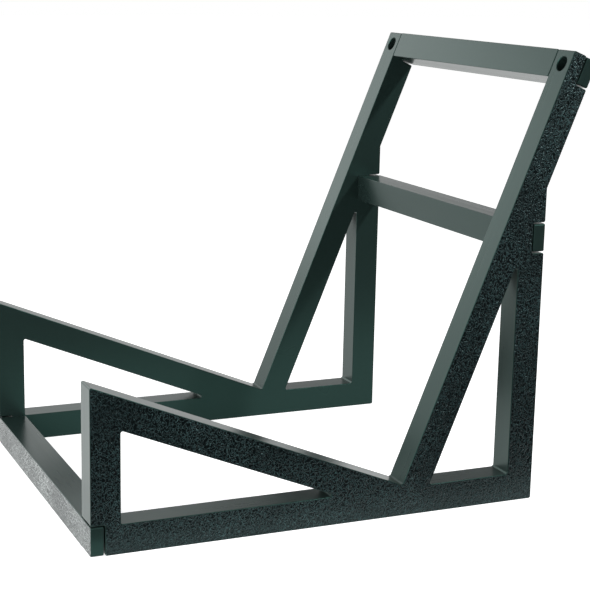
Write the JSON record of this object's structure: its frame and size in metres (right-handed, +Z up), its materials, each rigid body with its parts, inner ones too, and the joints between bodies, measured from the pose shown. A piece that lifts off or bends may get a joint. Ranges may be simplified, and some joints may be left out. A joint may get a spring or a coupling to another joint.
{
  "type": "desk amplifier stand",
  "caption": "Desk stand for a small amplifier: triangulated side frames with a sloping seat and leaning back, joined by tenoned cross bars and small screws.",
  "frame": {"origin": "centre of the bounding box at the floor", "axes": "+X to the right as the stand is seen from the front, +Y from the front posts to the rear, +Z up"},
  "size_m": [0.171, 0.2232, 0.1967],
  "materials": {
    "plastic": "printed PLA, outer faces pebbled by the print plate, edges satin with fine layer lines",
    "screw_steel": "black oxide",
    "brass": "turned, grooved",
    "pin_steel": "ground"
  },
  "bodies": {
    "root": {"side_frame_right": "plastic", "side_frame_left": "plastic", "front_bar": "plastic", "middle_bar": "plastic", "top_bar": "plastic", "top_screw_right": "screw_steel", "top_screw_left": "screw_steel", "middle_screw_right": "screw_steel", "middle_screw_left": "screw_steel", "top_insert_right": "brass", "top_insert_left": "brass", "middle_insert_right": "brass", "middle_insert_left": "brass", "front_pin_right": "pin_steel", "front_pin_left": "pin_steel"}
  },
  "joints": []
}
